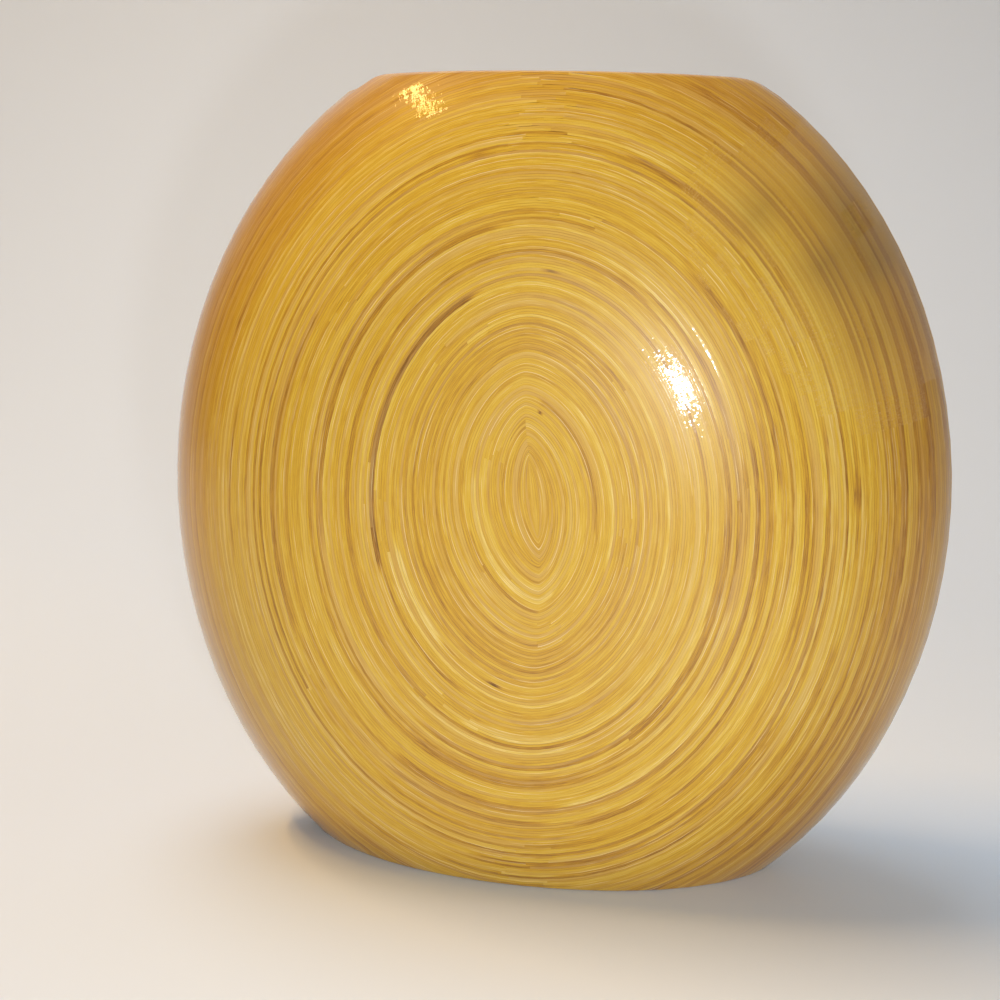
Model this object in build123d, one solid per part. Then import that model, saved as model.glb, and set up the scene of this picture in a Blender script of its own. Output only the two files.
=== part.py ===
from build123d import *
import os
from math import ceil, cos, pi, radians, sin, sqrt

# Flat flower vase made of two shallow oval dishes, glued rim to rim and cut off flat
# at the foot and at the mouth. Each dish is wound from thin bamboo strips that stand
# on edge, and a board closes the foot. +Z is up, the front dish faces -Y, and the
# origin is the middle of the foot.

# Dishes, measured before the foot and the mouth are cut
dish_width = 307
dish_height = 365
dish_depth = 60
mouth_width = 145
foot_width = 188

# Bamboo strips: the width stands across the wall, the thickness builds up the dish.
# Several strips are laid together as one course, and courses are glued side by side.
# A course that is longer than a strip is spliced once more.
strip_width = 8
strip_thickness = 0.9
strips_per_course = 9
strip_length = 900
glue_line = 0.1

# Eye of the winding, where the first strips are folded. It leans by a few degrees.
eye_width = 9
eye_height = 33
eye_offset_x = 4
eye_offset_z = 12
eye_lean = 8

# Board that closes the foot
board_thickness = 6
board_clearance = 0.5

# How far a cutting shape runs past what it cuts
overrun = 20

# Courses as they follow each other outwards. The inner ones run on for less than a
# turn, and the outer ones for half a turn between the foot's middle and the mouth's.
inner_courses = 14
outer_courses = 12

# Numbers of the shapes, none of them a length
crown_power = 4
edge_power = 1.3
drift_power = 1.25
lean_power = 3
taper_power = 0.5
point_power = 4
eye_point_share = 0.5
steps_per_turn = 36
points_across = 4
board_points = 20

half_width = dish_width / 2
half_height = dish_height / 2
foot_drop = half_height * sqrt(1 - (foot_width / dish_width) ** 2)
mouth_rise = half_height * sqrt(1 - (mouth_width / dish_width) ** 2)
vase_height = foot_drop + mouth_rise

# The courses lie side by side from the eye to the rim
course_width = strips_per_course * strip_thickness
turns = round((half_width - eye_width / 2) / course_width)

# The winding ends at the foot, half a turn after it has reached the rim
half_turn = steps_per_turn // 2
first_rim_step = (turns - 1) * steps_per_turn
last_step = first_rim_step + half_turn


def crown_depth(x, z):
    """How far the outside of a dish stands out from the seam at a place on its front."""
    radius_share = sqrt((x / half_width) ** 2 + ((z - foot_drop) / half_height) ** 2)
    return dish_depth * max(1 - radius_share ** crown_power, 0) ** (1 / edge_power)


def ring_point(level, turn):
    """A place seen from the front: level counts courses outwards, turn goes clockwise."""
    share = min(level / turns, 1)
    half_x = eye_width / 2 + (half_width - eye_width / 2) * share
    eye_extra = (eye_height - eye_width) / 2
    rim_extra = half_height - half_width
    half_z = half_x + eye_extra + (rim_extra - eye_extra) * share ** taper_power
    point = eye_point_share * (1 - share) ** point_power
    across = sin(2 * pi * turn)
    x = half_x * across * abs(across) ** point
    z = half_z * cos(2 * pi * turn)
    lean = radians(eye_lean) * (1 - share) ** lean_power
    drift = (1 - share) ** drift_power
    leaning_x = x * cos(lean) - z * sin(lean)
    leaning_z = x * sin(lean) + z * cos(lean)
    return (eye_offset_x * drift + leaning_x, eye_offset_z * drift + leaning_z + foot_drop)


def winding_point(step):
    """A place on the winding, which moves out by one course in each turn."""
    return ring_point(step / steps_per_turn, step / steps_per_turn)


def distance(start, end):
    return sqrt((end[0] - start[0]) ** 2 + (end[1] - start[1]) ** 2)


def between(start, end, share):
    return (start[0] + (end[0] - start[0]) * share, start[1] + (end[1] - start[1]) * share)


def course_section(step, reach, start_gap):
    """The cut through a course at one step, from the glue line to its outer side."""
    turn = (step + start_gap) / steps_per_turn
    inner = ring_point(turn, turn)
    outer = ring_point(turn + reach, turn)
    glue_share = glue_line / distance(inner, outer)
    outside = []
    inside = []
    for number in range(points_across):
        share = glue_share + (1 - glue_share) * number / (points_across - 1)
        x, z = between(inner, outer, share)
        depth = crown_depth(x, z)
        outside.append((x, -depth, z))
        inside.append((x, strip_width - depth, z))
    sides = [Line(outside[0], inside[0]), Line(outside[-1], inside[-1])]
    return Wire([Spline(*outside), Spline(*inside)] + sides)


def course(start, end, reach):
    """One course of strips from one step of the winding to another."""
    start_gap = glue_line / distance(winding_point(start), winding_point(start + 1))
    sections = [course_section(start, reach, start_gap)]
    for step in range(start + 1, end + 1):
        sections.append(course_section(step, reach, 0))
    return Solid.make_loft(sections, ruled=True)


def winding_length(start, end):
    """Length of the winding from one step to another."""
    steps = range(start, end)
    return sum(distance(winding_point(step), winding_point(step + 1)) for step in steps)


def course_ends():
    """Steps of the winding where the strips of one course end and the next begin."""
    first_outer_step = last_step - outer_courses * half_turn
    planned = [round(first_outer_step * number / inner_courses) for number in range(inner_courses)]
    planned += range(first_outer_step, last_step + 1, half_turn)
    ends = []
    for start, end in zip(planned, planned[1:]):
        spliced = ceil(winding_length(start, end) / strip_length)
        ends += [start + (end - start) * number // spliced for number in range(spliced)]
    return ends + [last_step]


def eye():
    """The folded strips in the middle of the winding, where the dish is flat."""
    points = [winding_point(step) for step in range(steps_per_turn + 1)]
    face = Plane.XZ * make_face(Polyline(*points, close=True))
    return Pos(0, strip_width - dish_depth, 0) * extrude(face, strip_width)


def front_dish():
    """The front dish as named solids, from the eye outwards."""
    depth = dish_depth + overrun
    blank = Pos(0, -depth / 2, vase_height / 2) * Box(dish_width + overrun, depth, vase_height)
    solids = {"eye": eye()}
    ends = course_ends()
    for number, (start, end) in enumerate(zip(ends, ends[1:]), start=1):
        reach = 1
        if start >= last_step - steps_per_turn and end <= first_rim_step:
            reach = 2
        solids[f"course_{number:02d}"] = course(start, end, reach) & blank
    return solids


def board_outline():
    """The inside of the foot seen from above, as the front edge and the back edge."""
    edge_share = ((strip_width + board_clearance) / dish_depth) ** edge_power
    tip_share = sqrt((1 - edge_share) ** (2 / crown_power) - (foot_drop / half_height) ** 2)
    front = []
    for number in range(board_points + 1):
        x = half_width * tip_share * (2 * number / board_points - 1)
        front.append((x, strip_width + board_clearance - crown_depth(x, 0)))
    back = [(x, -y) for x, y in front]
    return make_face([Spline(*front), Spline(*back)])


os.makedirs("parts", exist_ok=True)
pieces = {"foot_board": extrude(board_outline(), board_thickness)}
for name, piece in front_dish().items():
    pieces[f"front_{name}"] = piece
    pieces[f"back_{name}"] = piece.rotate(Axis.Z, 180)
for name, piece in pieces.items():
    piece.label = name
    export_step(piece, f"parts/{name}.step")
print(f"{len(pieces)} pieces, {turns} courses from eye to rim, height {vase_height:.1f}")
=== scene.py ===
import math

import bmesh
import bpy
import numpy as np
from mathutils import Matrix, Vector


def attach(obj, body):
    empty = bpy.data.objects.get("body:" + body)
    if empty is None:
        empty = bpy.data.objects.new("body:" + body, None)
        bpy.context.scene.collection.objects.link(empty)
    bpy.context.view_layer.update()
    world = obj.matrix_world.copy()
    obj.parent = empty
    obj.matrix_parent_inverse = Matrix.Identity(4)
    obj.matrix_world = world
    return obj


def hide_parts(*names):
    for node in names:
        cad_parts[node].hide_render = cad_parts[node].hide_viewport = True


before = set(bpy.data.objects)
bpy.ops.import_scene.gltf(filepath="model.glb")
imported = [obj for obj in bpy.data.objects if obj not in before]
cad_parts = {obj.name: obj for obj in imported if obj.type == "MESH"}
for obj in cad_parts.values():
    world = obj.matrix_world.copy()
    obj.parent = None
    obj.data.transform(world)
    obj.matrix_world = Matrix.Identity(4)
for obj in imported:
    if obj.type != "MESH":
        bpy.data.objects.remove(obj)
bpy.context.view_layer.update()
print("frame loaded with", len(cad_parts), "nodes")

# sizes of the vase in metres, the same as in the construction model
vase = {
    "dishWidth": 0.307,
    "dishHeight": 0.365,
    "dishDepth": 0.060,
    "mouthWidth": 0.145,
    "footWidth": 0.188,
    "crownPower": 4,
    "edgePower": 1.3,
    "lipRadius": 0.0014,
    "footRadius": 0.0007,
    "leftTipDrop": 0.0023,     # the mouth's tips are sanded round
    "rightTipDrop": 0.0012,
    "tipLength": 0.0085,
    "rimFlat": 0.0005,         # how much of each dish's edge is sanded square at the seam
}

winding = {
    "stripWidth": 0.008,
    "stripThickness": 0.0009,
    "stripsPerCourse": 9,
    "stripLength": 0.900,      # a longer course is spliced once more
    "eyeWidth": 0.009,
    "eyeHeight": 0.033,
    "eyeOffsetX": 0.004,
    "eyeOffsetZ": 0.012,
    "eyeLean": 8,              # degrees
    "leanPower": 3,
    "driftPower": 1.25,
    "taperPower": 0.5,
    "pointPower": 4,
    "eyePoint": 0.5,
    "stepsPerTurn": 36,
    "innerCourses": 14,
    "outerCourses": 12,
    "spliceScatter": 0.030,    # how far the butt joints of neighbouring strips lie apart
    "fullScatterAround": 0.4,  # a shorter ring has its joints closer together
    "stationsPerTurn": 90,
    "seed": 7,
}

stripFace = {
    "gapShare": 0.003,         # share of a strip's thickness left open on each side
    "shoulderShare": 0.14,     # where the rounded edge ends
    "edgeDrop": 0.0000025,     # how deep the lacquered edge goes on the outside
    "insideDrop": 0.00025,     # the same inside, where nobody sands
    "tilt": 0.0000018,         # height difference across one strip
    "step": 0.000008,          # how far one strip stands back from the next
    "insideStep": 0.00035,
    "waves": 0.000006,         # slow waves along a strip
    "longWave": 0.031,
    "shortWave": 0.0127,
    "phaseRatio": 3,           # between the short waves and the long ones
    "waveTilt": 0.5,
}

halfWidth = vase["dishWidth"] / 2
halfHeight = vase["dishHeight"] / 2
footDrop = halfHeight * math.sqrt(1 - (vase["footWidth"] / vase["dishWidth"]) ** 2)
mouthRise = halfHeight * math.sqrt(1 - (vase["mouthWidth"] / vase["dishWidth"]) ** 2)
vaseHeight = footDrop + mouthRise
courseWidth = winding["stripsPerCourse"] * winding["stripThickness"]
turns = round((halfWidth - winding["eyeWidth"] / 2) / courseWidth)
firstRimStep = (turns - 1) * winding["stepsPerTurn"]
lastStep = firstRimStep + winding["stepsPerTurn"] // 2


def crownDepth(x, z):
    radius = np.sqrt((x / halfWidth) ** 2 + ((z - footDrop) / halfHeight) ** 2)
    share = np.clip(1 - radius ** vase["crownPower"], 0, 1) ** (1 / vase["edgePower"])
    return np.maximum(vase["dishDepth"] * share, vase["rimFlat"])


# a place seen from the front: level counts courses outwards, turn goes clockwise from the top
def ringPoint(level, turn):
    share = np.clip(level / turns, 0, 1)
    below = np.clip(level, None, 0) * courseWidth
    halfX = winding["eyeWidth"] / 2 + (halfWidth - winding["eyeWidth"] / 2) * share + below
    eyeExtra = (winding["eyeHeight"] - winding["eyeWidth"]) / 2
    rimExtra = halfHeight - halfWidth
    halfZ = halfX + eyeExtra + (rimExtra - eyeExtra) * share ** winding["taperPower"]
    point = winding["eyePoint"] * (1 - share) ** winding["pointPower"]
    across = np.sin(2 * np.pi * turn)
    along = np.cos(2 * np.pi * turn)
    dx = halfX * across * np.abs(across) ** point
    dz = halfZ * along
    lean = math.radians(winding["eyeLean"]) * (1 - share) ** winding["leanPower"]
    drift = (1 - share) ** winding["driftPower"]
    x = winding["eyeOffsetX"] * drift + dx * np.cos(lean) - dz * np.sin(lean)
    z = winding["eyeOffsetZ"] * drift + dx * np.sin(lean) + dz * np.cos(lean) + footDrop
    return x, z


def windingPoint(step):
    turn = step / winding["stepsPerTurn"]
    return ringPoint(turn, turn)


def windingLength(start, end):
    x, z = windingPoint(np.arange(start, end + 1))
    return float(np.hypot(np.diff(x), np.diff(z)).sum())


# the same splices as the construction model has
def courseEnds():
    halfTurn = winding["stepsPerTurn"] // 2
    inner = winding["innerCourses"]
    firstOuter = lastStep - winding["outerCourses"] * halfTurn
    planned = [round(firstOuter * number / inner) for number in range(inner)]
    planned += range(firstOuter, lastStep + 1, halfTurn)
    ends = []
    for start, end in zip(planned, planned[1:]):
        spliced = math.ceil(windingLength(start, end) / winding["stripLength"])
        ends += [start + (end - start) * number // spliced for number in range(spliced)]
    return ends + [lastStep]


# colours and streaks that the front shows, placed by course level and turn from the top
frontStreaks = [
    {"level": 6.50, "from": 0.70, "to": 0.95, "strips": 1.7, "tone": 0.12},
    {"level": 6.22, "from": 0.57, "to": 0.72, "strips": 1.2, "tone": 0.27},
    {"level": 6.02, "from": 0.00, "to": 0.11, "strips": 1.6, "tone": 0.29},
    {"level": 6.32, "from": 0.40, "to": 0.54, "strips": 1.2, "tone": 0.30},
    {"level": 1.80, "from": 0.43, "to": 0.80, "strips": 2.2, "tone": 0.80},
    {"level": 2.05, "from": 0.05, "to": 0.30, "strips": 1.4, "tone": 0.32},
    {"level": 2.95, "from": 0.10, "to": 0.33, "strips": 1.6, "tone": 0.80},
    {"level": 2.20, "from": 0.50, "to": 0.72, "strips": 1.4, "tone": 0.31},
    {"level": 4.10, "from": 0.10, "to": 0.24, "strips": 1.2, "tone": 0.30},
    {"level": 5.45, "from": 0.62, "to": 0.73, "strips": 1.4, "tone": 0.86},
    {"level": 7.05, "from": 0.35, "to": 0.58, "strips": 1.2, "tone": 0.84},
    {"level": 7.60, "from": 0.45, "to": 0.63, "strips": 1.2, "tone": 0.84},
    {"level": 8.85, "from": 0.72, "to": 0.98, "strips": 1.2, "tone": 0.28},
    {"level": 9.20, "from": 0.19, "to": 0.30, "strips": 1.2, "tone": 0.26},
    {"level": 9.30, "from": 0.83, "to": 0.90, "strips": 2.0, "tone": 0.32},
    {"level": 10.8, "from": 0.41, "to": 0.47, "strips": 2.0, "tone": 0.27},
    {"level": 11.1, "from": 0.68, "to": 0.86, "strips": 1.6, "tone": 0.28},
    {"level": 11.4, "from": 0.93, "to": 0.98, "strips": 0.9, "tone": 0.24},
    {"level": 11.3, "from": 0.22, "to": 0.28, "strips": 1.2, "tone": 0.27},
    {"level": 12.4, "from": 0.20, "to": 0.36, "strips": 1.4, "tone": 0.26},
    {"level": 12.8, "from": 0.45, "to": 0.54, "strips": 1.4, "tone": 0.25},
    {"level": 13.4, "from": 0.72, "to": 0.80, "strips": 1.4, "tone": 0.31},
    {"level": 14.7, "from": 0.80, "to": 0.90, "strips": 1.4, "tone": 0.32},
    {"level": 15.6, "from": 0.20, "to": 0.30, "strips": 1.4, "tone": 0.29},
    {"level": 16.3, "from": 0.05, "to": 0.30, "strips": 2.6, "tone": 0.33},
    {"level": 16.9, "from": 0.12, "to": 0.24, "strips": 2.0, "tone": 0.28},
]

# the right and lower parts of the front are more streaky than the left
rightStreaks = {
    "count": 110,
    "seed": 5,
    "levels": (7.5, 17.8),
    "starts": (0.04, 0.52),
    "lengths": (0.06, 0.20),
    "lastEnd": 0.60,
    "strips": (0.9, 1.6),
    "darkShare": 0.6,
    "darkTones": (0.24, 0.36),
    "paleTones": (0.68, 0.82),
}


def addRightStreaks():
    rng = np.random.default_rng(rightStreaks["seed"])
    for _ in range(rightStreaks["count"]):
        start = float(rng.uniform(*rightStreaks["starts"]))
        isDark = rng.random() < rightStreaks["darkShare"]
        level = float(rng.uniform(*rightStreaks["levels"]))
        length = float(rng.uniform(*rightStreaks["lengths"]))
        strips = float(rng.uniform(*rightStreaks["strips"]))
        tones = rightStreaks["darkTones" if isDark else "paleTones"]
        frontStreaks.append({
            "level": level,
            "from": start,
            "to": min(start + length, rightStreaks["lastEnd"]),
            "strips": strips,
            "tone": float(rng.uniform(*tones)),
        })


addRightStreaks()

# knots are short darker stretches of a few strips, with their length in metres
frontKnots = [
    {"level": 11.75, "turn": 0.241, "long": 0.004, "strips": 4.5, "tone": 0.30},
    {"level": 13.50, "turn": 0.237, "long": 0.006, "strips": 2.5, "tone": 0.20},
    {"level": 11.95, "turn": 0.738, "long": 0.004, "strips": 4.5, "tone": 0.30},
    {"level": 12.05, "turn": 0.966, "long": 0.004, "strips": 4.0, "tone": 0.30},
    {"level": 1.55, "turn": 0.067, "long": 0.003, "strips": 0.8, "tone": 0.00},
    {"level": 11.0, "turn": 0.893, "long": 0.002, "strips": 0.8, "tone": 0.00},
    {"level": 7.10, "turn": 0.022, "long": 0.002, "strips": 0.8, "tone": 0.00},
    {"level": 5.25, "turn": 0.553, "long": 0.002, "strips": 0.8, "tone": 0.05},
    {"level": 10.3, "turn": 0.495, "long": 0.005, "strips": 1.2, "tone": 0.05},
]

# strips that stand out a little further at one edge and catch the light
frontRidges = [
    {"level": 8.75, "from": 0.100, "to": 0.178, "strips": 1.8, "drop": 0.000080},
    {"level": 5.05, "from": 0.100, "to": 0.140, "strips": 0.9, "drop": 0.000040},
]

# smudges under the lacquer, as places on the front in metres
frontSmudges = [
    {"x": 0.0749, "z": 0.2582, "radius": 0.008, "dark": 0.32},
    {"x": 0.1041, "z": 0.2628, "radius": 0.009, "dark": 0.42},
    {"x": 0.1171, "z": 0.2456, "radius": 0.010, "dark": 0.48},
    {"x": 0.1014, "z": 0.2383, "radius": 0.009, "dark": 0.36},
    {"x": 0.1136, "z": 0.2180, "radius": 0.014, "dark": 0.14},
    {"x": 0.0930, "z": 0.2490, "radius": 0.020, "dark": 0.14},
    {"x": 0.1240, "z": 0.2290, "radius": 0.018, "dark": 0.14},
]

darkestSmudge = 0.6
smudgeSteps = 100
streakFade = 0.015             # turns over which a streak begins or ends
ridgeFade = 0.02
perimeterLevels = np.linspace(0, turns, 37)
perimeterTurns = np.linspace(0, 1, 73)


def perimeterAt(level):
    x, z = ringPoint(np.full_like(perimeterTurns, level), perimeterTurns)
    return float(np.hypot(np.diff(x), np.diff(z)).sum())


perimeters = np.array([perimeterAt(level) for level in perimeterLevels])


def perimeter(level):
    return float(np.interp(level, perimeterLevels, perimeters))


# strips near a line that keeps to one strip as the winding moves outwards
def nearLine(mark, level, fraction, middleTurn):
    middle = level + 0.5 / winding["stripsPerCourse"]
    line = mark["level"] + fraction - middleTurn
    return np.abs(middle - line) * winding["stripsPerCourse"] < mark["strips"] / 2


def streakShare(mark, level, fraction, fade):
    near = nearLine(mark, level, fraction, (mark["from"] + mark["to"]) / 2)
    toEnd = np.minimum(fraction - mark["from"], mark["to"] - fraction)
    return near * np.clip(toEnd / fade, 0, 1)


def streakTone(tone, level, turn, isFront):
    if not isFront:
        return tone
    for streak in frontStreaks:
        mix = streakShare(streak, level, turn % 1.0, streakFade)
        tone = tone * (1 - mix) + streak["tone"] * mix
    return tone


def smudgeDark(x, z, isFront):
    dark = np.zeros_like(x)
    if not isFront:
        return dark
    for smudge in frontSmudges:
        away = ((x - smudge["x"]) ** 2 + (z - smudge["z"]) ** 2) / smudge["radius"] ** 2
        dark += smudge["dark"] * np.exp(-away)
    return dark


def ridgeDrop(level, turn, isFront):
    drop = np.zeros_like(turn)
    if not isFront:
        return drop
    for ridge in frontRidges:
        share = streakShare(ridge, level, turn % 1.0, ridgeFade)
        drop = np.maximum(drop, share * ridge["drop"])
    return drop


def knotTone(tone, level, turn, isFront):
    if not isFront:
        return tone
    fraction = turn % 1.0
    for knot in frontKnots:
        away = np.abs(fraction - knot["turn"]) * perimeter(knot["level"])
        near = nearLine(knot, level, fraction, knot["turn"])
        tone = np.where(near & (away < knot["long"] / 2), knot["tone"], tone)
    return tone


# one strip on edge: a closed band of eight corners at every station along the winding
def stripBand(turn, inner, outer, draw, isFront):
    gap = stripFace["gapShare"]
    shoulder = stripFace["shoulderShare"]
    shares = np.array([gap, shoulder, 1 - shoulder, 1 - gap])
    xIn, zIn = ringPoint(inner, turn)
    xOut, zOut = ringPoint(outer, turn)
    x = xIn[:, None] + (xOut - xIn)[:, None] * shares
    z = zIn[:, None] + (zOut - zIn)[:, None] * shares
    middleX = (xIn + xOut) / 2
    middleZ = (zIn + zOut) / 2
    lengths = np.hypot(np.diff(middleX), np.diff(middleZ))
    run = np.concatenate([[0], np.cumsum(lengths)]) + draw["start"]
    longWave = np.sin(run / stripFace["longWave"] + draw["phase"])
    shortPhase = draw["phase"] * stripFace["phaseRatio"]
    wave = longWave + np.sin(run / stripFace["shortWave"] + shortPhase)
    ownTilt = draw["tilt"] + wave[:, None] * stripFace["waveTilt"]
    tilt = (shares - 0.5) * 2 * ownTilt * stripFace["tilt"]
    back = draw["back"] * stripFace["step"] + (wave[:, None] + 2) * stripFace["waves"] / 4
    drop = np.array([stripFace["edgeDrop"], 0, 0, stripFace["edgeDrop"]])
    ridge = ridgeDrop(inner, turn, isFront)[:, None] * (1 - shares)
    outside = -crownDepth(x, z)
    y = np.maximum(outside + drop + tilt + back + ridge, -vase["dishDepth"])
    insideDrop = np.array([stripFace["insideDrop"], 0, 0, stripFace["insideDrop"]])
    insideStep = draw["inside"] * stripFace["insideStep"]
    inside = outside + winding["stripWidth"] - insideDrop - insideStep
    inside = np.minimum(inside, 0)
    corners = np.stack([
        np.concatenate([x, x[:, ::-1]], 1),
        np.concatenate([y, inside[:, ::-1]], 1),
        np.concatenate([z, z[:, ::-1]], 1),
    ], 2)
    tone = np.full(len(turn), draw["tone"])
    tone = streakTone(tone, inner, turn, isFront)
    tone = knotTone(tone, inner, turn, isFront)
    across = np.concatenate([shares, shares[::-1]])
    count = len(turn)
    strip = np.stack([
        np.repeat(tone[:, None], 8, 1),
        np.full((count, 8), draw["chance"]),
        np.repeat(across[None], count, 0),
    ], 2)
    place = np.stack([
        np.repeat(run[:, None], 8, 1),
        np.repeat(((inner + outer) / 2 / turns)[:, None], 8, 1),
        np.repeat(np.array([[0, 0, 0, 0, 1, 1, 1, 1.0]]), count, 0),
    ], 2)
    # a smudge is kept with the strip's own random number, as its whole part
    dark = np.clip(smudgeDark(middleX, middleZ, isFront), 0, darkestSmudge)
    strip[:, :, 1] += np.round(dark * smudgeSteps)[:, None]
    return corners.reshape(-1, 3), strip.reshape(-1, 3), place.reshape(-1, 3)


def bandFaces(count, first):
    station = np.arange(count - 1)[:, None] * 8 + first
    corner = np.arange(8)[None]
    here = station + corner
    following = station + (corner + 1) % 8
    quads = np.stack([here, following, following + 8, here + 8], 2)
    faces = quads.reshape(-1, 4).tolist()
    last = first + (count - 1) * 8
    faces.append([first + number for number in range(7, -1, -1)])
    faces.append([last + number for number in range(8)])
    return faces


closestStation = 0.3           # how close a strip's end comes to a station, in stations


# all strips share one grid of stations, so that neighbours meet along the same lines
def stationsAlong(start, end):
    perTurn = winding["stationsPerTurn"]
    first = math.floor(start * perTurn + 1 + closestStation)
    last = math.ceil(end * perTurn - closestStation)
    return np.concatenate([[start], np.arange(first, last) / perTurn, [end]])


# neighbouring strips often come from the same cane, so their tones follow each other
stripTone = {
    "middle": 0.53,
    "spread": 0.085,
    "follow": 0.20,
    "paleShare": 0.06,
    "pale": (0.66, 0.80),
    "darkShare": 0.06,
    "dark": (0.27, 0.37),
    "firstInCourse": 0.52,
    "firstInEye": 0.60,
    "innermost": (0.38, 0.54),
    "longestStart": 9,         # metres of pattern that a strip's start is drawn from
    "lastPhase": 6.28,
}


def drawStrip(rng, neighbour):
    own = rng.normal(stripTone["middle"], stripTone["spread"])
    tone = stripTone["follow"] * neighbour + (1 - stripTone["follow"]) * own
    neighbour = tone
    if rng.random() < stripTone["paleShare"]:
        tone = rng.uniform(*stripTone["pale"])
    if rng.random() < stripTone["darkShare"]:
        tone = rng.uniform(*stripTone["dark"])
    return {
        "neighbour": float(neighbour),
        "tone": float(np.clip(tone, 0, 1)),
        "chance": float(rng.random()),
        "phase": float(rng.uniform(0, stripTone["lastPhase"])),
        "tilt": float(rng.normal(0, 1)),
        "back": float(rng.random()),
        "inside": float(rng.random()),
        "start": float(rng.uniform(0, stripTone["longestStart"])),
    }


# the map lays every strip out in rows, with its two visible faces widest
bakeMap = {
    "rows": 4,
    "corners": (0, 0.08, 0.40, 0.48, 0.50, 0.58, 0.90, 0.98, 1.0),
    "strips": 0.90,            # height of the part for the strips
    "margin": 0.04,            # free share of a row on each side
    "caps": (0.91, 0.02),      # start and height of the part for the ends of strips
    "capMargin": 0.1,
    "foot": (0.94, 0.025),
    "mouth": (0.97, 0.025),
    "edge": 0.002,             # free width at both sides of the map
}


def bandMap(count, number, total):
    rows = bakeMap["rows"]
    perRow = math.ceil((count - 1) / rows)
    segment = np.arange(count - 1)
    row = segment // perRow
    width = 1 - 2 * bakeMap["edge"]
    start = (segment - row * perRow) / perRow * width + bakeMap["edge"]
    end = start + width / perRow
    edges = np.array(bakeMap["corners"]) * (1 - 2 * bakeMap["margin"]) + bakeMap["margin"]
    low = (number * rows + row)[:, None] + edges[None, :8]
    high = (number * rows + row)[:, None] + edges[None, 1:]
    across = np.stack([low, high, high, low], 2) * bakeMap["strips"] / (total * rows)
    along = np.stack([start, start, end, end], 1)[:, None, :].repeat(8, 1)
    quads = np.stack([along, across], 3).reshape(-1, 2)
    shoulder = stripFace["shoulderShare"]
    shares = np.array([0, shoulder, 1 - shoulder, 1, 1, 1 - shoulder, shoulder, 0])
    inside = np.array([0, 0, 0, 0, 1, 1, 1, 1])
    bottom, height = bakeMap["caps"]
    margin = bakeMap["capMargin"]
    sideways = (number * 2 + margin + shares * (1 - 2 * margin)) / (total * 2)
    cap = np.stack([sideways, bottom + height * inside], 1)
    return np.concatenate([quads, cap[::-1], cap + np.array([1 / (total * 2), 0])])


def stripMesh(name, bands, side):
    points, strips, places, faces, maps = [], [], [], [], []
    first = 0
    for number, (corners, strip, place) in enumerate(bands):
        maps.append(bandMap(len(corners) // 8, number, len(bands)))
        points.append(corners)
        strips.append(strip)
        places.append(place)
        faces += bandFaces(len(corners) // 8, first)
        first += len(corners)
    points = np.concatenate(points)
    if side == "back":
        points = points * np.array([-1, -1, 1])
    mesh = bpy.data.meshes.new(name)
    mesh.from_pydata(points.tolist(), [], faces)
    for attributeName, values in (("strip", strips), ("place", places)):
        attribute = mesh.attributes.new(attributeName, "FLOAT_VECTOR", "POINT")
        attribute.data.foreach_set("vector", np.concatenate(values).ravel().astype(np.float32))
    layer = mesh.uv_layers.new(name="OFBake")
    layer.data.foreach_set("uv", np.concatenate(maps).ravel().astype(np.float32))
    return mesh


roundingShares = (1.0, 0.6, 0.3, 0.1)
smallest = 1e-7                # metres within which a corner counts as on the cut
creaseAngle = 22               # degrees from which an edge between faces stays sharp


# cuts a course flat at the foot or the mouth and rounds the cut edges over
def cutFlat(mesh, height, direction, radius):
    heights = np.array([corner.co.z for corner in mesh.vertices])
    if (heights * direction).max() <= height * direction:
        return
    bm = bmesh.new()
    bm.from_mesh(mesh)
    up = Vector((0, 0, direction))
    for share in roundingShares:
        level = Vector((0, 0, height - direction * radius * share))
        everything = bm.verts[:] + bm.edges[:] + bm.faces[:]
        bmesh.ops.bisect_plane(bm, geom=everything, plane_co=level, plane_no=up, dist=smallest)
    everything = bm.verts[:] + bm.edges[:] + bm.faces[:]
    top = Vector((0, 0, height))
    cut = bmesh.ops.bisect_plane(
        bm, geom=everything, plane_co=top, plane_no=up, dist=smallest, clear_outer=True)
    rims = [part for part in cut["geom_cut"] if isinstance(part, bmesh.types.BMEdge)]
    filled = bmesh.ops.holes_fill(bm, edges=rims, sides=0)["faces"]
    layer = bm.loops.layers.uv["OFBake"]
    bottom, tall = bakeMap["mouth"] if direction > 0 else bakeMap["foot"]
    for face in filled:
        for loop in face.loops:
            x, y, _ = loop.vert.co
            across = 0.5 + x / vase["dishWidth"]
            loop[layer].uv = (across, bottom + tall * abs(y) / vase["dishDepth"])
    place = bm.verts.layers.float_vector["place"]
    for corner in bm.verts:
        depth = (height - corner.co.z) * direction
        if depth >= radius:
            continue
        inwards = radius - math.sqrt(max(radius ** 2 - (radius - depth) ** 2, 0))
        side = -1 if corner.co.y < 0 else 1
        isInside = corner[place].z > 0.5
        if isInside:
            corner.co.y += side * inwards * min(1, abs(corner.co.y) / radius)
        else:
            corner.co.y -= side * inwards
    bm.to_mesh(mesh)
    bm.free()


def roundTips(mesh):
    half = vase["mouthWidth"] / 2
    for corner in mesh.vertices:
        if corner.co.z < vaseHeight - vase["leftTipDrop"]:
            continue
        drop = vase["leftTipDrop"] if corner.co.x < 0 else vase["rightTipDrop"]
        share = max(0, (abs(corner.co.x) - half) / vase["tipLength"] + 1)
        corner.co.z = min(corner.co.z, vaseHeight - drop * share ** 2)


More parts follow.
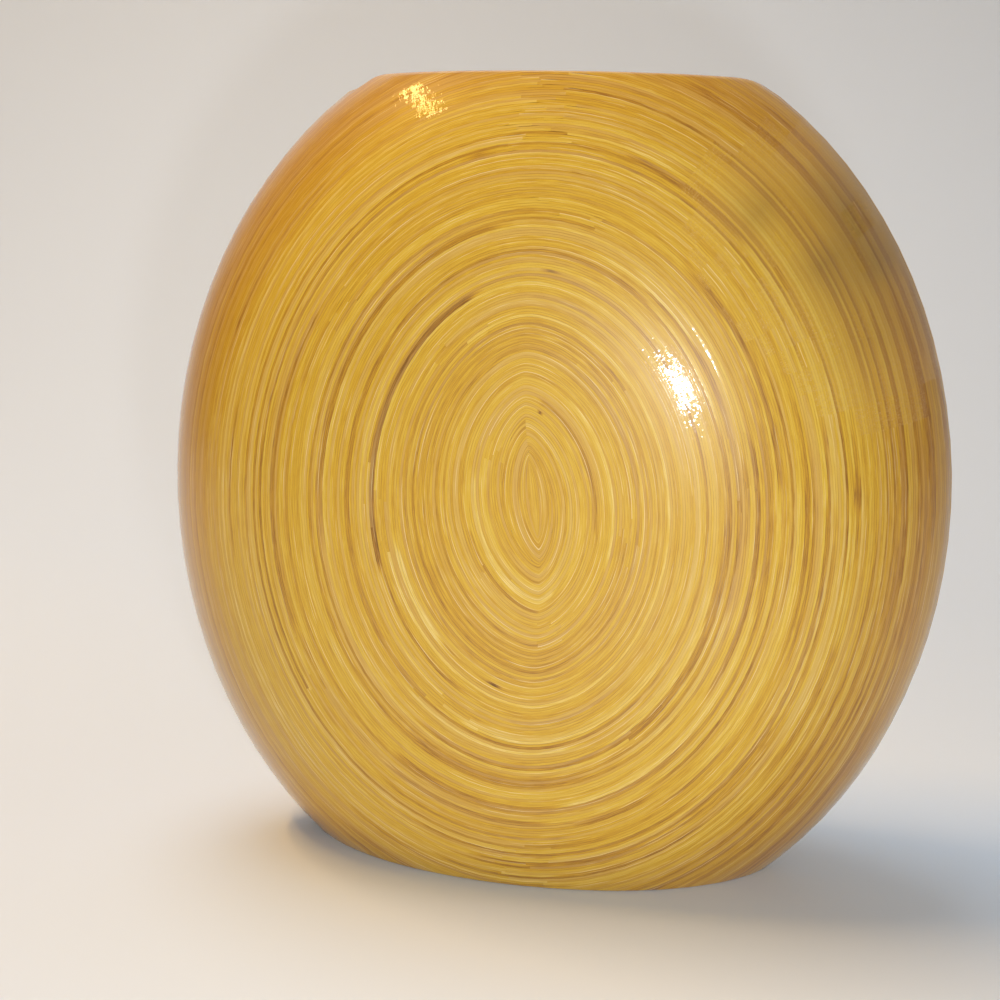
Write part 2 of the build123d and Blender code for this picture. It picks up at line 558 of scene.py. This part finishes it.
def makePiece(name, mesh, node, material):
    mesh.polygons.foreach_set("use_smooth", [True] * len(mesh.polygons))
    mesh.set_sharp_from_angle(angle=math.radians(creaseAngle))
    mesh.materials.append(material)
    piece = bpy.data.objects.new(name, mesh)
    bpy.context.scene.collection.objects.link(piece)
    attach(piece, "root")
    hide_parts(node)


thinnestStrip = 0.2            # as a share of a whole strip, at the rim
eyeGap = 0.001                 # part of a turn left open in each of the eye's loops
taperStart = 0.15              # where a tapering strip begins, as a share of its width


def courseBands(rng, start, end, reach, startScatter, endScatter, isFront):
    bands = []
    draw = {"neighbour": stripTone["firstInCourse"]}
    stepsPerTurn = winding["stepsPerTurn"]
    strips = winding["stripsPerCourse"]
    for number in range(strips * reach):
        draw = drawStrip(rng, draw["neighbour"])
        first = start / stepsPerTurn + startScatter[number % strips]
        last = end / stepsPerTurn + endScatter[number % strips]
        turn = stationsAlong(first, last)
        inner = turn + number / strips
        outer = np.minimum(turn + (number + 1) / strips, turns)
        kept = inner < turns - thinnestStrip / strips
        if kept.sum() < 2:
            continue
        bands.append(stripBand(turn[kept], inner[kept], outer[kept], draw, isFront))
    return bands


# the folded strips in the middle, closed loops inside and tapering starts outside
def eyeBands(rng, isFront):
    bands = []
    draw = {"neighbour": stripTone["firstInEye"]}
    palest = stripTone["innermost"][1]
    strips = winding["stripsPerCourse"]
    loops = round(winding["eyeWidth"] / 2 / winding["stripThickness"])
    for number in range(-loops, 0):
        turn = stationsAlong(eyeGap, 1 - eyeGap)
        inner = np.full_like(turn, number / strips)
        draw = drawStrip(rng, draw["neighbour"])
        draw["tone"] = min(max(draw["tone"], stripTone["innermost"][0]), palest)
        bands.append(stripBand(turn, inner, inner + 1 / strips, draw, isFront))
    for number in range(strips):
        turn = stationsAlong((number + taperStart) / strips, 1 - eyeGap)
        inner = np.full_like(turn, number / strips)
        outer = np.minimum(turn, (number + 1) / strips)
        draw = drawStrip(rng, draw["neighbour"])
        bands.append(stripBand(turn, inner, outer, draw, isFront))
    return bands


def buildDish(side, material, seed):
    rng = np.random.default_rng(seed)
    isFront = side == "front"
    eyeMesh = stripMesh(side + "_eye_strips", eyeBands(rng, isFront), side)
    makePiece(side + "_eye_strips", eyeMesh, side + "_eye", material)
    ends = courseEnds()
    strips = winding["stripsPerCourse"]
    scatter = rng.uniform(-0.5, 0.5, (len(ends), strips)) * winding["spliceScatter"]
    for number, end in enumerate(ends):
        around = perimeter(end / winding["stepsPerTurn"])
        scatter[number] *= min(1, around / winding["fullScatterAround"]) / around
    scatter[0] = 0
    scatter[-1] = 0
    for number, (start, end) in enumerate(zip(ends, ends[1:]), start=1):
        reach = 1
        if start >= lastStep - winding["stepsPerTurn"] and end <= firstRimStep:
            reach = 2
        ownScatter = scatter[number - 1], scatter[number]
        bands = courseBands(rng, start, end, reach, *ownScatter, isFront)
        name = "%s_strips_%02d" % (side, number)
        mesh = stripMesh(name, bands, side)
        cutFlat(mesh, vaseHeight, 1, vase["lipRadius"])
        cutFlat(mesh, 0.0, -1, vase["footRadius"])
        roundTips(mesh)
        makePiece(name, mesh, "%s_course_%02d" % (side, number), material)
    print(side, "dish built,", len(ends) - 1, "courses")


# lacquered bamboo: every strip its own tone, long fibres, glue lines and an amber coat
bamboo = {
    "dark": (0.150, 0.062, 0.012),
    "brown": (0.330, 0.150, 0.026),
    "tan": (0.540, 0.290, 0.028),
    "golden": (0.640, 0.390, 0.034),
    "straw": (0.695, 0.470, 0.072),
    "pale": (0.800, 0.620, 0.230),
    "pink": (0.600, 0.375, 0.120),
    "smudge": (0.165, 0.095, 0.028),
    "pinkShare": 0.50,
    "toneDrift": 0.15,         # how much the tone wanders along one strip
    "fibreTone": 0.60,
    "lineDark": 0.70,          # how dark the darkest glue lines are
    "paleLine": (0.900, 0.760, 0.420),
    "palePart": 0.55,          # how pale the palest edges are
    "paintedRimShade": 0.42,          # painted shade: darker towards the rims, where the surface turns away from the light
    "paintedRimShadeTint": (0.70, 0.35, 0.02),
    "roughness": 0.37,
    "coat": 1.0,
    "coatRoughness": 0.070,
    "coatIor": 1.28,
    "fibreHeight": 0.00001,
    "specular": 0.26,          # of the fibre under the lacquer
    "rippleHeight": 0.00009,   # fine ripples of the lacquer
    "waveHeight": 0.00028,     # longer ripples along each strip
    "stops": (0.0, 0.16, 0.36, 0.55, 0.78, 1.0),
    "tones": ("dark", "brown", "tan", "golden", "straw", "pale"),
    "hueRange": (0.48, 0.66),
    "lineEdge": (0.37, 0.45),  # from the middle of a strip, whose edge is at 0.5
    "lineRange": (0.44, 0.64),
    "paleEdge": (0.70, 0.80),  # share of the way across a strip
    "paleRange": (0.46, 0.34),
    "rimRange": (0.72, 1.0),   # share of the way from the eye to the rim
    "smudgeStreaks": 2.4,
    "smudgeShift": -0.2,
    "roughFibres": 0.25,
    "roughShift": -0.12,
}

# noise along the strips: changes per metre, how far strips and rings lie apart in it
patterns = {
    "drift": {"perMetre": 9.0, "apart": 91.0, "detail": 3.0, "roughness": 0.6},
    "fibre": {"perMetre": 90.0, "apart": 400.0, "detail": 4.0, "roughness": 0.68, "across": 3.4},
    "hue": {"perMetre": 6.0, "apart": 33.0, "detail": 2.0, "roughness": 0.5, "ring": 14.0},
    "line": {"perMetre": 24.0, "apart": 57.0, "detail": 3.0, "roughness": 0.6},
    "ripple": {"perMetre": 420.0, "ring": 252.0, "detail": 2.0, "roughness": 0.6},
    "wave": {"perMetre": 110.0, "apart": 57.0, "detail": 2.0, "roughness": 0.5},
}


def node(tree, kind, **settings):
    made = tree.nodes.new(kind)
    for key, value in settings.items():
        if key in made.inputs:
            made.inputs[key].default_value = value
        else:
            setattr(made, key, value)
    return made


def mathNode(tree, operation, first, second=None, clamp=False):
    made = tree.nodes.new("ShaderNodeMath")
    made.operation = operation
    made.use_clamp = clamp
    for socket, value in zip(made.inputs, (first, second)):
        if value is None:
            continue
        if isinstance(value, (int, float)):
            socket.default_value = value
        else:
            tree.links.new(value, socket)
    return made.outputs[0]


def mixColour(tree, mode, factor, first, second):
    made = tree.nodes.new("ShaderNodeMix")
    made.data_type = "RGBA"
    made.blend_type = mode
    for name, value in (("Factor_Float", factor), ("A_Color", first), ("B_Color", second)):
        socket = next(s for s in made.inputs if s.identifier == name)
        if isinstance(value, (int, float)):
            socket.default_value = value
        elif isinstance(value, tuple):
            socket.default_value = (*value, 1)
        else:
            tree.links.new(value, socket)
    return next(s for s in made.outputs if s.identifier == "Result_Color")


def rangeNode(tree, value, ends, kind="SMOOTHSTEP"):
    made = node(tree, "ShaderNodeMapRange", interpolation_type=kind)
    tree.links.new(value, made.inputs["Value"])
    made.inputs["From Min"].default_value = ends[0]
    made.inputs["From Max"].default_value = ends[1]
    return made.outputs[0]


# the parts of the two vectors that every corner of a strip carries
def stripParts(tree):
    parts = {}
    vectors = {"strip": ("tone", "marked", "across"), "place": ("run", "share")}
    for name, keys in vectors.items():
        attribute = node(tree, "ShaderNodeAttribute", attribute_name=name)
        split = node(tree, "ShaderNodeSeparateXYZ")
        tree.links.new(attribute.outputs["Vector"], split.inputs[0])
        parts.update(zip(keys, split.outputs))
    parts["chance"] = mathNode(tree, "FRACT", parts["marked"])
    steps = mathNode(tree, "FLOOR", parts["marked"])
    parts["smudged"] = mathNode(tree, "MULTIPLY", steps, 1 / smudgeSteps)
    return parts


def stripNoise(tree, parts, pattern):
    place = node(tree, "ShaderNodeCombineXYZ")
    along = mathNode(tree, "MULTIPLY", parts["run"], pattern["perMetre"])
    tree.links.new(along, place.inputs[0])
    if "apart" in pattern:
        sideways = mathNode(tree, "MULTIPLY", parts["chance"], pattern["apart"])
        if "across" in pattern:
            within = mathNode(tree, "MULTIPLY", parts["across"], pattern["across"])
            sideways = mathNode(tree, "ADD", within, sideways)
        tree.links.new(sideways, place.inputs[1])
    if "ring" in pattern:
        ring = mathNode(tree, "MULTIPLY", parts["share"], pattern["ring"])
        tree.links.new(ring, place.inputs[2 if "apart" in pattern else 1])
    noise = node(tree, "ShaderNodeTexNoise", Scale=1.0, Detail=pattern["detail"])
    noise.inputs["Roughness"].default_value = pattern["roughness"]
    tree.links.new(place.outputs[0], noise.inputs["Vector"])
    return noise.outputs[0]


# noise as a shift of the tone to both sides
def shiftBy(tree, noise, strength):
    centred = mathNode(tree, "SUBTRACT", noise, 0.5)
    return mathNode(tree, "MULTIPLY", centred, strength * 2)


def bumpNode(tree, height, distance, normal=None):
    bump = node(tree, "ShaderNodeBump", Distance=distance, Strength=1.0)
    tree.links.new(height, bump.inputs["Height"])
    if normal is not None:
        tree.links.new(normal, bump.inputs["Normal"])
    return bump.outputs[0]


def bambooColour(tree, parts, fibre):
    # tone wanders slowly along the strip, and fibres are long and very thin
    drift = shiftBy(tree, stripNoise(tree, parts, patterns["drift"]), bamboo["toneDrift"])
    drifted = mathNode(tree, "ADD", parts["tone"], drift)
    fibreShift = shiftBy(tree, fibre, bamboo["fibreTone"])
    toneAll = mathNode(tree, "ADD", drifted, fibreShift, clamp=True)
    ramp = node(tree, "ShaderNodeValToRGB")
    elements = ramp.color_ramp.elements
    while len(elements) < len(bamboo["stops"]):
        elements.new(0.5)
    for element, position, name in zip(elements, bamboo["stops"], bamboo["tones"]):
        element.position = position
        element.color = (*bamboo[name], 1)
    tree.links.new(toneAll, ramp.inputs[0])

    # some stretches are pinkish rather than golden
    hue = rangeNode(tree, stripNoise(tree, parts, patterns["hue"]), bamboo["hueRange"])
    pinkAmount = mathNode(tree, "MULTIPLY", hue, bamboo["pinkShare"])
    hued = mixColour(tree, "MIX", pinkAmount, ramp.outputs[0], bamboo["pink"])

    # glue lines: some are dark, some hardly show
    fromMiddle = mathNode(tree, "SUBTRACT", parts["across"], 0.5)
    edge = rangeNode(tree, mathNode(tree, "ABSOLUTE", fromMiddle), bamboo["lineEdge"])
    lineNoise = stripNoise(tree, parts, patterns["line"])
    shown = rangeNode(tree, lineNoise, bamboo["lineRange"], "LINEAR")
    lineShare = mathNode(tree, "MULTIPLY", edge, shown)
    lineAmount = mathNode(tree, "MULTIPLY", lineShare, bamboo["lineDark"])
    lined = mixColour(tree, "MIX", lineAmount, hued, bamboo["brown"])

    # where no dark line shows, one edge of a strip is often pale
    paleEdge = rangeNode(tree, parts["across"], bamboo["paleEdge"])
    paleShown = rangeNode(tree, lineNoise, bamboo["paleRange"], "LINEAR")
    paleShare = mathNode(tree, "MULTIPLY", paleEdge, paleShown)
    paleAmount = mathNode(tree, "MULTIPLY", paleShare, bamboo["palePart"])
    lined = mixColour(tree, "MIX", paleAmount, lined, bamboo["paleLine"])

    # painted shade makes the rims a little darker, where the surface turns away from the light,
    # and smudges follow the strips
    rim = rangeNode(tree, parts["share"], bamboo["rimRange"])
    rimAmount = mathNode(tree, "MULTIPLY", rim, bamboo["paintedRimShade"])
    shadedRims = mixColour(tree, "MULTIPLY", rimAmount, lined, bamboo["paintedRimShadeTint"])
    streaked = mathNode(tree, "MULTIPLY", lineNoise, bamboo["smudgeStreaks"])
    streaked = mathNode(tree, "ADD", streaked, bamboo["smudgeShift"])
    smudgeAmount = mathNode(tree, "MULTIPLY", parts["smudged"], streaked, clamp=True)
    return mixColour(tree, "MIX", smudgeAmount, shadedRims, bamboo["smudge"])


def bambooMaterial():
    material = bpy.data.materials.new("lacqueredBamboo")
    material.use_nodes = True
    tree = material.node_tree
    tree.nodes.clear()
    output = node(tree, "ShaderNodeOutputMaterial")
    shader = node(tree, "ShaderNodeBsdfPrincipled")
    tree.links.new(shader.outputs[0], output.inputs[0])
    parts = stripParts(tree)
    fibre = stripNoise(tree, parts, patterns["fibre"])
    tree.links.new(bambooColour(tree, parts, fibre), shader.inputs["Base Color"])
    rough = mathNode(tree, "MULTIPLY", fibre, bamboo["roughFibres"])
    rough = mathNode(tree, "ADD", rough, bamboo["roughness"] + bamboo["roughShift"])
    tree.links.new(rough, shader.inputs["Roughness"])
    shader.inputs["Specular IOR Level"].default_value = bamboo["specular"]
    shader.inputs["Coat Weight"].default_value = bamboo["coat"]
    shader.inputs["Coat Roughness"].default_value = bamboo["coatRoughness"]
    shader.inputs["Coat IOR"].default_value = bamboo["coatIor"]
    fibreBump = bumpNode(tree, fibre, bamboo["fibreHeight"])
    tree.links.new(fibreBump, shader.inputs["Normal"])

    # the lacquer lies in small ripples over the strips
    ripple = stripNoise(tree, parts, patterns["ripple"])
    rippled = bumpNode(tree, ripple, bamboo["rippleHeight"])
    wave = stripNoise(tree, parts, patterns["wave"])
    waved = bumpNode(tree, wave, bamboo["waveHeight"], rippled)
    tree.links.new(waved, shader.inputs["Coat Normal"])
    return material


board = {
    "light": (0.46, 0.30, 0.13),
    "dark": (0.26, 0.15, 0.06),
    "roughness": 0.7,
    "stretch": (14.0, 160.0, 900.0),
    "detail": 6.0,
    "grainRoughness": 0.6,
    "distortion": 0.4,
    "grainHeight": 0.0002,
    "grainStrength": 0.6,
}


def boardMaterial():
    material = bpy.data.materials.new("footBoardPly")
    material.use_nodes = True
    tree = material.node_tree
    shader = tree.nodes["Principled BSDF"]
    coordinate = node(tree, "ShaderNodeTexCoord")
    stretch = node(tree, "ShaderNodeMapping", Scale=board["stretch"])
    tree.links.new(coordinate.outputs["Object"], stretch.inputs[0])
    grain = node(tree, "ShaderNodeTexNoise", Scale=1.0, Detail=board["detail"])
    grain.inputs["Roughness"].default_value = board["grainRoughness"]
    grain.inputs["Distortion"].default_value = board["distortion"]
    tree.links.new(stretch.outputs[0], grain.inputs["Vector"])
    colour = mixColour(tree, "MIX", grain.outputs[0], board["dark"], board["light"])
    tree.links.new(colour, shader.inputs["Base Color"])
    bump = node(tree, "ShaderNodeBump", Distance=board["grainHeight"])
    bump.inputs["Strength"].default_value = board["grainStrength"]
    tree.links.new(grain.outputs[0], bump.inputs["Height"])
    tree.links.new(bump.outputs[0], shader.inputs["Normal"])
    shader.inputs["Roughness"].default_value = board["roughness"]
    return material


lacqueredBamboo = bambooMaterial()
buildDish("front", lacqueredBamboo, winding["seed"])
buildDish("back", lacqueredBamboo, winding["seed"] + 1)
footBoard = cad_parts["foot_board"]
footBoard.data.materials.clear()
footBoard.data.materials.append(boardMaterial())
print("materials done")


# the camera stands a little right of the vase and looks down at it, as in the photograph
view = {
    "x": 0.0840,
    "distance": 0.5745,
    "height": 0.2568,
    "yaw": -0.1769,
    "pitch": -0.1924,
    "roll": 0.0251,
    "lens": 1.5001,            # focal length as a share of the picture's width
    "sensor": 36,
    "nearest": 0.01,
}


def viewAxes():
    forward = Vector((
        math.sin(view["yaw"]) * math.cos(view["pitch"]),
        math.cos(view["yaw"]) * math.cos(view["pitch"]),
        math.sin(view["pitch"]),
    ))
    right = forward.cross(Vector((0, 0, 1))).normalized()
    up = right.cross(forward)
    turnedRight = right * math.cos(view["roll"]) + up * math.sin(view["roll"])
    turnedUp = up * math.cos(view["roll"]) - right * math.sin(view["roll"])
    return turnedRight, turnedUp, forward


def addCamera():
    right, up, forward = viewAxes()
    data = bpy.data.cameras.new("photoCamera")
    camera = bpy.data.objects.new("photoCamera", data)
    bpy.context.scene.collection.objects.link(camera)
    place = Vector((view["x"], -view["distance"], view["height"]))
    camera.matrix_world = Matrix((
        (right.x, up.x, -forward.x, place.x),
        (right.y, up.y, -forward.y, place.y),
        (right.z, up.z, -forward.z, place.z),
        (0, 0, 0, 1),
    ))
    data.sensor_width = view["sensor"]
    data.lens = view["lens"] * data.sensor_width
    data.clip_start = view["nearest"]
    bpy.context.scene.camera = camera
    return camera


lights = {
    "flashPower": 1.96,
    "flashSize": 0.030,
    "flashRight": 0.034,       # how far the flash stands from the lens
    "flashDown": 0.050,
    "lampPlace": (-0.80, -0.03, 1.41),
    "lampAlong": (0.13, -0.77, 0.06),    # from its back end to its front end
    "lampLong": 0.60,
    "lampWide": 0.05,
    "lampPower": 9.5,
    "lampColour": (1.0, 0.60, 0.20),
    "glintPlace": (-0.79, -0.03, 1.39),    # just in front of the lamp, or it hides the glint
    "glintPower": 4.0,
    "washPlace": (-0.45, 0.35, 1.9),
    "washTarget": (0.1, 0.95, 0.5),
    "washPower": 19.0,
    "washColour": (0.78, 0.89, 1.0),
    "washSize": 1.2,
    "roomColour": (1.0, 0.93, 0.80),
    "leftColour": (0.14, 0.10, 0.06),
    "leftToRight": (-0.9, 0.4),
    "roomStrength": 0.26,
    "wallColour": (0.67, 0.72, 0.79),
}


def areaLight(name, place, target, colour=(1, 1, 1)):
    data = bpy.data.lights.new(name, "AREA")
    data.shape = "DISK"
    data.color = colour
    lamp = bpy.data.objects.new(name, data)
    bpy.context.scene.collection.objects.link(lamp)
    lamp.location = place
    towards = Vector(target) - Vector(place)
    lamp.rotation_euler = towards.to_track_quat("-Z", "Y").to_euler()
    return lamp


# a long lamp under the ceiling, up to the left
def addRoomLamp(name, place, power):
    target = (0, 0, vaseHeight)
    lamp = areaLight(name, place, target, lights["lampColour"])
    lamp.data.shape = "RECTANGLE"
    lamp.data.size = lights["lampLong"]
    lamp.data.size_y = lights["lampWide"]
    lamp.data.energy = power
    back = (Vector(place) - Vector(target)).normalized()
    along = Vector(lights["lampAlong"])
    along = (along - back * along.dot(back)).normalized()
    lamp.rotation_euler = Matrix((along, back.cross(along), back)).transposed().to_euler()
    return lamp


def addLights(camera):
    right, up, _ = viewAxes()
    place = camera.matrix_world.translation
    place = place + right * lights["flashRight"] - up * lights["flashDown"]
    flash = areaLight("frontFlash", place, (0, 0, vaseHeight / 2))
    flash.data.size = lights["flashSize"]
    flash.data.energy = lights["flashPower"]
    washEnds = lights["washPlace"], lights["washTarget"]
    wash = areaLight("wallWash", *washEnds, lights["washColour"])
    wash.data.size = lights["washSize"]
    wash.data.energy = lights["washPower"]
    wash.visible_glossy = False
    # only a weaker part of the lamp shows in the lacquer
    lamp = addRoomLamp("roomLamp", lights["lampPlace"], lights["lampPower"])
    lamp.visible_glossy = False
    addRoomLamp("lampGlint", lights["glintPlace"], lights["glintPower"])
    world = bpy.data.worlds.new("room")
    bpy.context.scene.world = world
    world.use_nodes = True
    background = world.node_tree.nodes["Background"]
    background.inputs["Strength"].default_value = lights["roomStrength"]
    # the room is darker towards the left
    tree = world.node_tree
    direction = node(tree, "ShaderNodeTexCoord")
    parts = node(tree, "ShaderNodeSeparateXYZ")
    tree.links.new(direction.outputs["Generated"], parts.inputs[0])
    sideways = rangeNode(tree, parts.outputs[0], lights["leftToRight"])
    colour = mixColour(tree, "MIX", sideways, lights["leftColour"], lights["roomColour"])
    tree.links.new(colour, background.inputs["Color"])


# floor that curves up into a wall behind the vase
sweep = {
    "front": -3.0,
    "bendStart": 0.45,
    "bendRadius": 0.5,
    "bendSteps": 12,
    "height": 3.0,
    "halfWidth": 4.0,
    "below": 0.0002,           # keeps it clear of the foot
    "roughness": 0.9,
}


def addBackdrop():
    bend, radius = sweep["bendStart"], sweep["bendRadius"]
    profile = [(sweep["front"], 0.0), (bend, 0.0)]
    for number in range(1, sweep["bendSteps"] + 1):
        angle = math.pi / 2 * number / sweep["bendSteps"]
        profile.append((bend + radius * math.sin(angle), radius - radius * math.cos(angle)))
    profile.append((bend + radius, sweep["height"]))
    points = []
    for y, z in profile:
        height = z - sweep["below"]
        points += [(-sweep["halfWidth"], y, height), (sweep["halfWidth"], y, height)]
    faces = [(2 * k, 2 * k + 1, 2 * k + 3, 2 * k + 2) for k in range(len(profile) - 1)]
    mesh = bpy.data.meshes.new("studioSweep")
    mesh.from_pydata(points, [], faces)
    mesh.polygons.foreach_set("use_smooth", [True] * len(faces))
    material = bpy.data.materials.new("paleSweep")
    material.use_nodes = True
    shader = material.node_tree.nodes["Principled BSDF"]
    shader.inputs["Base Color"].default_value = (*lights["wallColour"], 1)
    shader.inputs["Roughness"].default_value = sweep["roughness"]
    mesh.materials.append(material)
    backdrop = bpy.data.objects.new("studioSweep", mesh)
    bpy.context.scene.collection.objects.link(backdrop)


photoCamera = addCamera()
addLights(photoCamera)
addBackdrop()
bpy.context.scene.view_settings.view_transform = "Standard"
print("camera, lights and backdrop set")
